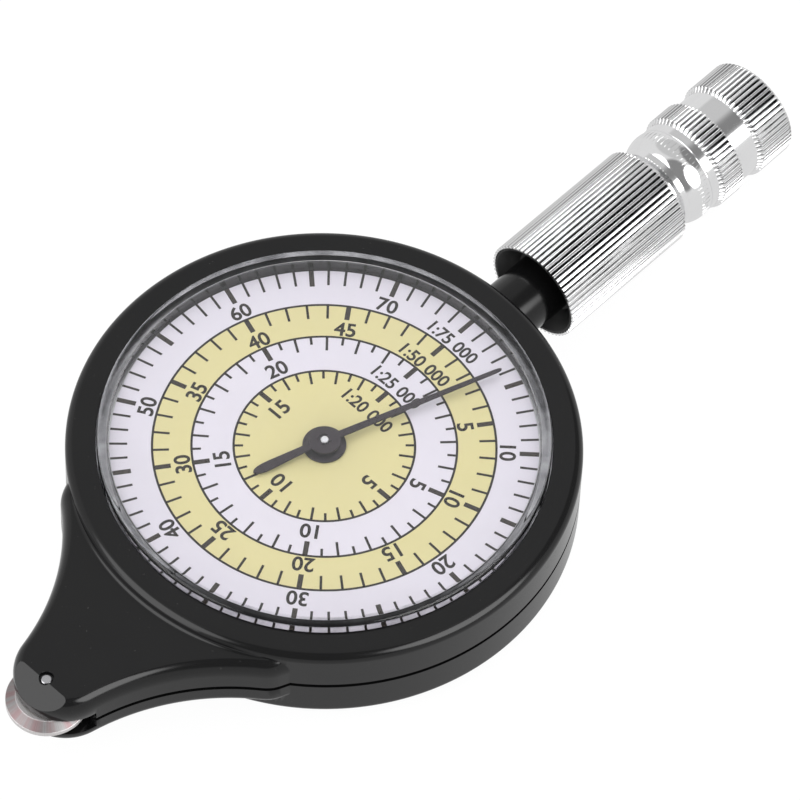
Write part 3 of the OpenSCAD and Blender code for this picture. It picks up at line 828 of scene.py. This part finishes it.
# %% Dial discs
HOLE_R = 1.75
DIAL_R = 20.75
DIAL_BACK = 2.95
DISC = soften([(HOLE_R, DIAL_BACK), (DIAL_R, DIAL_BACK), (DIAL_R, DIAL_FACE), (HOLE_R, DIAL_FACE)],
              0.06, 3)
for side in ("front", "rear"):
    disc = lathe(side + "_dial_disc", DISC, 288)
    if side == "rear":
        turn_over(disc)
    hand_over(disc, "case", "dial_print", [side + "_dial"])

# %% [markdown]
# ### Ticks by rule
# Every scale is the same rule with other numbers: so many ticks round the circle, each second one
# longer, each fifth or tenth one bold. That is a job for Geometry Nodes: a circle of points, three
# kinds of tick, and a choice by the point's number.

# %% Trees and what they make
def start_tree(name, inputs):
    """A new geometry tree with named inputs; gives its graph and its input node."""
    tree = bpy.data.node_groups.new(name, "GeometryNodeTree")
    tree.interface.new_socket("Geometry", in_out="OUTPUT", socket_type="NodeSocketGeometry")
    for kind, labels in inputs:
        for label in labels:
            tree.interface.new_socket(label, in_out="INPUT", socket_type="NodeSocket" + kind)
    graph = Graph(tree)
    return graph, graph.add("NodeGroupInput")


def finished(graph, shape, finish):
    """Makes instances real and gives them their material."""
    real = graph.add("GeometryNodeRealizeInstances", {"Geometry": shape})["Geometry"]
    made = graph.add("GeometryNodeSetMaterial", {"Geometry": real, "Material": finish})
    return made["Geometry"]


def end_tree(graph, shape):
    out = graph.add("NodeGroupOutput")
    graph.feed(out.node.inputs["Geometry"], shape)
    return graph.tree


def from_nodes(name, tree, values, base=None):
    """Runs a tree with its inputs set by identifier, and keeps the plain mesh."""
    holder = new_object(name, base or bpy.data.meshes.new(name))
    step = holder.modifiers.new(name, "NODES")
    step.node_group = tree
    for item in tree.interface.items_tree:
        if item.in_out == "INPUT" and item.name in values:
            step[item.identifier] = values[item.name]
    apply_modifiers(holder)
    return holder


# %% Tick tree
TICK_INPUTS = [("Int", ["Count", "Longer Every", "Bold Every"]),
               ("Float", ["Radius", "Fine Length", "Long Length", "Bold Length", "Fine Width",
                          "Bold Width"]),
               ("Material", ["Fine Ink", "Bold Ink"])]


def tick_tree():
    graph, given = start_tree("scale_ticks", TICK_INPUTS)
    count = given["Count"]
    number = graph.add("GeometryNodeInputIndex")["Index"]
    line = graph.add("GeometryNodeMeshLine", {"Count": count, "Offset": (0, 0, 0)},
                     mode="OFFSET")["Mesh"]
    points = graph.add("GeometryNodeMeshToPoints", {"Mesh": line})["Points"]
    turn = number * (-2 * pi) / count
    rotation = graph.add("ShaderNodeCombineXYZ", {"Z": turn})["Vector"]
    bold = (number % given["Bold Every"]) < 0.5
    longer = ((number % given["Longer Every"]) < 0.5) * (1 - bold)
    fine = (1 - bold) * (1 - longer)
    kinds = [(fine, "Fine Length", "Fine Width", "Fine Ink"),
             (longer, "Long Length", "Fine Width", "Fine Ink"),
             (bold, "Bold Length", "Bold Width", "Bold Ink")]
    made = []
    for chosen, length, width, ink in kinds:
        tall = given[length]
        grid = {"Size X": given[width], "Size Y": tall, "Vertices X": 2, "Vertices Y": 2}
        quad = graph.add("GeometryNodeMeshGrid", grid)["Mesh"]
        middle = given["Radius"] - tall * 0.5
        shift = graph.add("ShaderNodeCombineXYZ", {"Y": middle})["Vector"]
        moved = graph.add("GeometryNodeTransform", {"Geometry": quad, "Translation": shift})
        stamp = {"Points": points, "Instance": moved["Geometry"], "Rotation": rotation,
                 "Selection": chosen > 0.5}
        placed = graph.add("GeometryNodeInstanceOnPoints", stamp)["Instances"]
        made.append(finished(graph, placed, given[ink]))
    joined = graph.add("GeometryNodeJoinGeometry", {"Geometry": made})["Geometry"]
    return end_tree(graph, joined)


ticks_tree = tick_tree()
print("tick tree:", len(ticks_tree.nodes), "nodes")

# %% [markdown]
# ### What the scales say
# One turn of the pointers is one metre of wheel travel, so the 1:75 000 scale runs to 75 km, the
# 1:50 000 scale to 50 km and so on. The front runs clockwise. The rear, which the photograph doesn't
# show, is given four more common scales and runs the other way round.

# %% Scale tables
# The four rings from the rim inward, in shares of RING: radius of the ticks, lengths of a fine, a
# longer and a bold tick, radius of the numbers. Then in ticks: longer every (NEVER for no longer
# ones), bold every, a number every. Last the kilometres per tick.
NEVER = 1000
LAYOUT = [(1.249, (0.105, 0.105, 0.114), 1.066, NEVER, 5, 10, 1.0),
          (1.0, (0.098, 0.098, 0.098), 0.832, NEVER, 5, 5, 1.0),
          (0.7715, (0.055, 0.098, 0.098), 0.602, 2, 10, 10, 0.5),
          (0.527, (0.055, 0.090, 0.090), 0.362, 2, 10, 10, 0.5)]
SCALES = {"front": [("1:75 000", 75), ("1:50 000", 50), ("1:25 000", 50), ("1:20 000", 40)],
          "rear": [("1:100 000", 100), ("1:40 000", 40), ("1:30 000", 60), ("1:15 000", 30)]}
INK_UP = 0.012
for side, scales in SCALES.items():
    print(side, "scales:", [label for label, count in scales])


# %% Print as thin meshes
def place_on_face(mesh, rear, turn):
    """Carries print made at twelve o'clock to its place on a face."""
    mesh.transform(Matrix.Translation((0, 0, (DIAL_FACE + INK_UP) * MM)))
    if rear:
        mesh.transform(Matrix.Rotation(pi, 4, "Y"))
    mesh.transform(Matrix.Rotation(-turn, 4, "Z"))
    mesh.transform(Matrix.Translation((0, 0, HALF * MM)))
    return mesh


def thicken(mesh, rear):
    """Gives flat print the thickness of its ink, down to the dial."""
    sink = INK_UP * MM if rear else -INK_UP * MM
    with editing(mesh) as work:
        made = bmesh.ops.extrude_face_region(work, geom=work.faces[:])
        lower = [part for part in made["geom"] if isinstance(part, bmesh.types.BMVert)]
        bmesh.ops.translate(work, verts=lower, vec=(0, 0, sink))
        bmesh.ops.recalc_face_normals(work, faces=work.faces)


def embolden(mesh, amount):
    """Moves the outline of flat letters outwards, so that their strokes grow."""
    with editing(mesh) as work:
        bmesh.ops.remove_doubles(work, verts=work.verts, dist=1e-5)
        shifts = {}
        for edge in work.edges:
            if len(edge.link_faces) != 1:
                continue
            along = (edge.verts[1].co - edge.verts[0].co).normalized()
            out = along.cross(Vector((0, 0, 1)))
            if out.dot(edge.link_faces[0].calc_center_median() - edge.verts[0].co) > 0:
                out = -out
            for vert in edge.verts:
                shifts.setdefault(vert, []).append(out)
        for vert, outs in shifts.items():
            mean = sum(outs, Vector()).normalized()
            vert.co += mean * amount / max(0.5, mean.dot(outs[0]))


# %% Words
STROKE_GROWTH = 0.021
NUMBER_TALL = 0.098
LABEL_TALL = 0.086
LABEL_TURN = radians(1.4)


def write_at(words, tall, radius, turn, rear, wide=1.0):
    """One word as a mesh, with its top outwards, at a clockwise turn from the handle."""
    curve = bpy.data.curves.new("word", "FONT")
    curve.body = words
    curve.align_x = "CENTER"
    curve.size = 1.0
    curve.resolution_u = 5
    thing = new_object("word", curve)
    bpy.context.view_layer.update()
    graph = bpy.context.evaluated_depsgraph_get()
    mesh = bpy.data.meshes.new_from_object(thing.evaluated_get(graph))
    bpy.data.objects.remove(thing)
    bpy.data.curves.remove(curve)
    embolden(mesh, STROKE_GROWTH)
    ys = [v.co.y for v in mesh.vertices]
    xs = [v.co.x for v in mesh.vertices]
    scale = tall * RING * MM / (max(ys) - min(ys))
    shift = Vector((-(max(xs) + min(xs)) / 2, -(max(ys) + min(ys)) / 2, 0))
    mesh.transform(Matrix.Translation(shift))
    mesh.transform(Matrix.Diagonal((scale * wide, scale, scale, 1)))
    mesh.transform(Matrix.Translation((0, radius * RING * MM, 0)))
    return place_on_face(mesh, rear, turn)


def join_meshes(name, meshes):
    """One object from many meshes that are already in place."""
    work = bmesh.new()
    for mesh in meshes:
        work.from_mesh(mesh)
        bpy.data.meshes.remove(mesh)
    whole = bpy.data.meshes.new(name)
    work.to_mesh(whole)
    work.free()
    return new_object(name, whole)


# %% Print one face
FINE_WIDTH = 0.0150
BOLD_WIDTH = 0.030
CIRCLE_WIDTH = 0.0135


def thin_ring(radius, width):
    """A flat printed circle."""
    mesh = bpy.data.meshes.new("ring")
    verts = []
    faces = []
    count = 288
    for k in range(count):
        turn = 2 * pi * k / count
        for r in (radius - width / 2, radius + width / 2):
            verts.append((r * RING * MM * cos(turn), r * RING * MM * sin(turn), 0))
    for k in range(count):
        a, b = 2 * k, 2 * ((k + 1) % count)
        faces.append((a, a + 1, b + 1, b))
    mesh.from_pydata(verts, [], faces)
    return mesh


def print_face(side):
    """Prints the ticks, numbers and circles of one face."""
    rear = side == "rear"
    unit = RING * MM
    words = []
    for (label, count), ring in zip(SCALES[side], LAYOUT):
        radius, lengths, text_r, longer, bold, every, step = ring
        fine_l, long_l, bold_l = (length * unit for length in lengths)
        values = {"Count": count, "Radius": radius * unit, "Longer Every": longer,
                  "Bold Every": bold, "Fine Length": fine_l, "Long Length": long_l,
                  "Bold Length": bold_l, "Fine Width": FINE_WIDTH * unit,
                  "Bold Width": BOLD_WIDTH * unit, "Fine Ink": finishes["ink_fine"],
                  "Bold Ink": finishes["ink_bold"]}
        ticks = from_nodes(f"{side}_ticks_{label[2:].replace(' ', '')}", ticks_tree, values)
        if rear:
            ticks.data.transform(Matrix.Scale(-1, 4, (1, 0, 0)))
            ticks.data.flip_normals()
        thicken(place_on_face(ticks.data, rear, 0.0), rear)
        hand_over(ticks, "case", None)
        words.append(write_at(label, LABEL_TALL, text_r - 0.010, LABEL_TURN, rear, 0.95))
        for k in range(every, count, every):
            turn = 2 * pi * k / count
            words.append(write_at(str(int(k * step)), NUMBER_TALL, text_r, turn, rear))
    rings = [place_on_face(thin_ring(r, CIRCLE_WIDTH), rear, 0.0) for r in CIRCLES]
    for name, meshes in ((side + "_numbers", words), (side + "_circles", rings)):
        print_mesh = join_meshes(name, meshes)
        thicken(print_mesh.data, rear)
        hand_over(print_mesh, "case", "ink_fine")


print_face("front")
print_face("rear")

# %% [markdown]
# ## Pointers
# A pointer is stamped from thin sheet: a long tapering arm with a rounded tip, a tail that widens a
# little and is bent toward the dial, and a round boss pressed on the arbor. The blade's edge is
# chamfered so that it shows a thin line of light.

# %% Pointer blade
BLADE = 4.22
BLADE_T = 0.22
BLADE_TOP = BLADE + BLADE_T
FOLD = -1.2
TAIL_SLOPE = 0.10
TURN = radians(-19.2)
STATIONS = [(-7.6, 0.05), (-7.54, 0.17), (-7.34, 0.32), (-7.0, 0.43), (-6.5, 0.50), (-5.8, 0.51),
            (-4.0, 0.44), (FOLD, 0.36), (1.2, 0.38), (18.5, 0.22), (18.95, 0.19), (19.12, 0.13),
            (19.2, 0.04)]


def make_blade(name):
    """The sheet blade, lofted from half widths along its length; its tail is bent down a little."""
    rings = []
    for y, half in STATIONS:
        drop = max(0.0, FOLD - y) * TAIL_SLOPE
        edge = min(0.06, half * 0.6)
        right = [(half - edge, BLADE), (half, BLADE + 0.04), (half, BLADE_TOP - 0.06),
                 (half - edge, BLADE_TOP)]
        left = [(-x, z) for x, z in reversed(right)]
        rings.append([(x, y, z - drop) for x, z in right + left])
    return loft(name, rings)


def make_pointer(side):
    """The blade with its stepped round boss, turned to where the photograph shows it."""
    blade = make_blade(side + "_blade")
    top = BLADE_TOP + 0.005
    seat = BLADE + 0.04
    floor = top - 0.12
    corners = [(0.76, 3.3), (1.1, 3.3), (1.1, 3.52), (2.12, 3.52), (2.12, 3.68), (1.25, 3.74),
               (1.1, 3.9), (1.1, BLADE), (1.60, BLADE), (1.60, top), (0.68, top), (0.62, floor),
               (0.46, floor), (0.46, seat), (0.76, seat)]
    radii = [0, 0.03, 0, 0.05, 0.06, 0, 0.1, 0, 0.04, 0.08, 0.03, 0, 0, 0, 0]
    boss = lathe("boss", soften(corners, radii, 4), 96)
    with editing(blade.data) as work:
        work.from_mesh(boss.data)
    bpy.data.objects.remove(boss)
    blade.data.transform(Matrix.Rotation(TURN, 4, "Z"))
    smooth(blade.data, 30)
    if side == "rear":
        turn_over(blade)
    return blade


for side in ("front", "rear"):
    pointer = make_pointer(side)
    hand_over(pointer, "hands", "pointer_gunmetal", [side + "_pointer"])

# %% Arbor
END = BLADE_TOP + 0.12
STEP = BLADE + 0.02
corners = [(0, -END), (0.42, -END), (0.42, -STEP), (0.745, -STEP), (0.745, STEP), (0.42, STEP),
           (0.42, END), (0, END)]
arbor = lathe("arbor_pin", soften(corners, [0, 0.3, 0, 0.04, 0.04, 0, 0.3, 0], 6), 96)
hand_over(arbor, "hands", "movement_steel", ["centre_arbor"])

# %% [markdown]
# ## Measuring wheel and axle
# The wheel is a bright steel disc with a plain narrow tread. Its sides are bevelled, because only a
# thin edge shows the user where on the map it rolls. It turns on a pin that is held by both jaws.

# %% Measuring wheel
BEVEL_R = WHEEL_R - 1.0
RIM_R = WHEEL_R - 0.01
corners = [(0.585, -1.1), (1.1, -1.1), (1.1, -WHEEL_HALF), (BEVEL_R, -WHEEL_HALF), (RIM_R, -0.25),
           (RIM_R, 0.25), (BEVEL_R, WHEEL_HALF), (1.1, WHEEL_HALF), (1.1, HUB_TOP), (0.585, HUB_TOP)]
radii = [0.02, 0.05, 0, 0.06, 0.06, 0.06, 0.06, 0, 0.05, 0.02]
wheel = lathe("bright_wheel", soften(corners, radii, 4), 240, (0, WHEEL_Y, 0))
hand_over(wheel, "wheel", "wheel_steel", ["measuring_wheel"])

# %% Axle
corners = [(0, -2.25), (0.548, -2.25), (0.548, 3.6), (0, 3.6)]
axle = lathe("axle_pin", soften(corners, [0, 0.16, 0.16, 0], 5), 64, (0, WHEEL_Y, 0))
hand_over(axle, "case", "movement_steel", ["wheel_axle"])

# %% [markdown]
# ## Stem and bush
# The stem is moulded in black and enters the grip through a bowl-shaped bush, so a dark ring shows
# round it at the grip's mouth.

# %% Stem and bush
corners = [(0, 23.2), (3.185, 23.2), (3.185, 31.53), (2.8, 31.53), (2.8, 39.58), (2.45, 39.58),
           (2.45, 40.05), (2.8, 40.05), (2.8, 41.15), (0, 41.15)]
radii = [0, 0, 0.06, 0.04, 0.04, 0, 0, 0.04, 0.1, 0]
stem = lathe("black_stem", soften(corners, radii, 4), 144, along="Y")
hand_over(stem, "case", "stem_black", ["handle_stem"])
corners = [(2.83, 31.54), (3.5, 31.54), (4.2, 30.7), (4.92, 29.66), (5.11, 29.66), (4.76, 30.9),
           (4.76, 39.53), (2.83, 39.53)]
radii = [0.02, 0.2, 0.6, 0.05, 0.02, 0, 0.05, 0.05]
bush = lathe("black_bush", soften(corners, radii, 6), 144, along="Y")
hand_over(bush, "grip", "bush_black", ["grip_bush"])

# %% [markdown]
# ## Grip
# The grip is one turned bar. Its bands were serrated in one pass before the waist was turned, which
# is why the ribs line up from band to band. The profile is turned first, and then a tree presses the
# grooves between the ribs into whatever stands higher than their roots.

# %% Grip profile
CREST = 5.45
RIBS = 60
RIB_DEPTH = 0.40


def grip_profile():
    """The outside of the grip from its mouth to its end, then back along the bore."""
    bead = arc((2.12, 49.62), 3.0, -52, 20, 14)
    out = [(4.77, 30.9), (5.18, 29.63), (5.43, 29.63), (CREST, 29.66), (CREST, 46.03), (5.42, 46.08),
           (4.09, 46.08), (4.09, 46.95), (4.52, 47.02), (4.60, 47.10), (4.60, 47.75), (4.52, 47.83),
           (4.34, 47.9)]
    out += [point for point in bead if point[0] > 4.34 and point[1] < 50.6]
    out += [(4.94, 50.64), (5.03, 50.70), (5.03, 51.6), (CREST, 52.05), (CREST, 54.66), (5.38, 54.68),
            (4.98, 54.72), (4.98, 57.36), (CREST, 57.80), (CREST, 61.88), (5.38, 61.98), (5.20, 62.13),
            (0.0, 62.13), (0.0, 41.9), (4.4, 41.9), (4.4, 39.56), (4.77, 39.5)]
    return out


# %% Rib tree
RIB_INPUTS = [("Geometry", ["Geometry"]), ("Int", ["Ribs"]), ("Float", ["Crest", "Depth", "Groove"]),
              ("Material", ["Finish"])]


def rib_tree():
    """Draws every point in to the ribbed outline where it stands outside it."""
    graph, given = start_tree("pressed_ribs", RIB_INPUTS)
    place = graph.add("GeometryNodeInputPosition")["Position"]
    apart = graph.add("ShaderNodeSeparateXYZ", {0: place})
    x, y, z = apart["X"], apart["Y"], apart["Z"] - HALF * MM
    radius = (x * x + z * z).root()
    share = (x.turn_from(z) * given["Ribs"] / (2 * pi)) % 1.0
    groove = 1 - (share.least(1 - share) / given["Groove"]).least(1.0)
    scale = radius.least(given["Crest"] - given["Depth"] * groove) / radius.most(1e-6)
    new = graph.add("ShaderNodeCombineXYZ", {"X": x * scale, "Y": y, "Z": z * scale + HALF * MM})
    pressed = (groove * given["Depth"] - (given["Crest"] - radius)) / given["Depth"]
    depth = pressed.most(0.0) * (radius > given["Crest"] - given["Depth"])
    marked = graph.add("GeometryNodeStoreNamedAttribute",
                       {"Geometry": given["Geometry"], "Name": "groove", "Value": depth},
                       data_type="FLOAT", domain="POINT")
    moved = graph.add("GeometryNodeSetPosition",
                      {"Geometry": marked["Geometry"], "Position": new["Vector"]})
    return end_tree(graph, finished(graph, moved["Geometry"], given["Finish"]))


# %% Grip
bar = lathe("plain_bar", grip_profile(), 960, along="Y")
bar_mesh = bar.data
bpy.data.objects.remove(bar)
grip = from_nodes("chrome_grip", rib_tree(),
                  {"Ribs": RIBS, "Crest": CREST * MM, "Depth": RIB_DEPTH * MM, "Groove": 0.34,
                   "Finish": finishes["grip_chrome"]}, bar_mesh)
close_up(grip.data)
smooth(grip.data, 24)
hand_over(grip, "grip", "grip_chrome", ["handle_grip"])

# %% [markdown]
# ## Movement
# The plates, gears and pins stay as the CAD made them. Each takes its finish from its slot in the
# record, so brass parts are brass and pins are steel.

# %% Finish the remaining nodes
slots = {part["node"]: part["material_slot"] for part in frame["record"]["subparts"]}
for name, thing in frame["nodes"].items():
    thing.data.materials.clear()
    thing.data.materials.append(finishes[slots[name]])
print("finished nodes:", len(frame["nodes"]))

# %% [markdown]
# ## Studio
# The photograph was taken on white. A floor takes the shadow, and camera rays see it almost as pure
# white. Two large softboxes and a pale room light the object. Chrome and polished plastic mirror
# only the room and the floor, so what they show is set by the room's panels.

# %% Floor
MIRRORED = 0.72
FLOOR_REACH = 1500.0
FLOOR_DOWN = -HALF - 0.01


def ray_kinds(graph):
    """1 for what the camera sees directly or through the cups, and 1 for what is seen mirrored."""
    path = graph.add("ShaderNodeLightPath")
    straight = path["Is Camera Ray"].most(path["Is Transmission Ray"])
    return straight, path["Is Glossy Ray"] * (1 - straight)


def studio_white(name, share, strength):
    graph, shader = start_finish(name, Base_Color=(0.82, 0.82, 0.82, 1), Roughness=0.9)
    straight, mirrored = ray_kinds(graph)
    seen = straight + mirrored * MIRRORED
    glow = graph.add("ShaderNodeEmission", {"Color": (1, 1, 1, 1), "Strength": seen * strength})
    show_mixed(graph, (seen > 0.1) * share, shader, glow["Emission"])
    return finishes[name]


signs = ((-1, -1), (1, -1), (1, 1), (-1, 1))
corners = [(x * FLOOR_REACH, y * FLOOR_REACH, FLOOR_DOWN) for x, y in signs]
floor = new_object("floor", mesh_from("floor", corners, [(0, 1, 2, 3)]))
floor.data.materials.append(studio_white("floor_white", 0.93, 1.035))
print("floor laid")

# %% Lamps and room
def softbox(name, place, target, size, power):
    """A lamp that lights the piece but isn't mirrored in it; the room holds what is mirrored."""
    data = bpy.data.lights.new(name, "AREA")
    data.shape = "RECTANGLE"
    data.size, data.size_y = size
    data.energy = power
    lamp = bpy.data.objects.new(name, data)
    bpy.context.scene.collection.objects.link(lamp)
    lamp.location = place
    lamp.rotation_euler = (Vector(target) - Vector(place)).to_track_quat("-Z", "Y").to_euler()
    lamp.visible_glossy = False
    print(name, "gives", power, "W")


softbox("low_softbox", (-0.144, -0.470, 0.344), (0, 0, 0.006), (0.50, 0.15), 0.52)
softbox("high_softbox", (-0.10, 0.45, 0.50), (0, 0, 0.006), (0.90, 0.90), 1.3)

# %% [markdown]
# The room is a white tent with two bright windows and three darker parts: the dim opening over the
# object's far side, a dark curtain beside it and the dark end of the room behind the camera.
# Polished plastic shows the windows as soft streaks on its rounded edges. What reaches the object
# as plain light is the same from everywhere.

# %% Room
# direction round Z from the X axis and height over the floor in degrees, reach of the core and of the
# rim in degrees, and how bright the room is there
PANELS = [(136, 60, 30, 38, 0.6), (72, 38, 20, 30, 0.24), (-47, 42, 36, 46, 0.26),
          (8, 33, 22, 28, 4.6), (-112, 33, 22, 28, 3.0)]
TENT = 0.78
PLAIN_LIGHT = 1.04

world = bpy.data.worlds.new("white_tent")
bpy.context.scene.world = world
world.use_nodes = True
room = Graph(world.node_tree)
backdrop = world.node_tree.nodes["Background"]
toward = room.add("ShaderNodeTexCoord")["Generated"]
tent = TENT
for round_z, rise, core, rim, shine in PANELS:
    turn, up = radians(round_z), radians(rise)
    panel = (cos(up) * cos(turn), cos(up) * sin(turn), sin(up))
    near = room.add("ShaderNodeVectorMath", {0: toward, 1: panel}, operation="DOT_PRODUCT")
    inside = near["Value"].ramp(cos(radians(rim)), cos(radians(core)))
    tent = inside * shine + (1 - inside) * tent
white, mirrored = ray_kinds(room)
level = white + mirrored * tent + (1 - white) * (1 - mirrored) * PLAIN_LIGHT
room.feed(backdrop.inputs["Strength"], level)
backdrop.inputs["Color"].default_value = (1, 1, 1, 1)
print("studio made with", len(PANELS), "panels")

# %% Update the scene
bpy.context.view_layer.update()
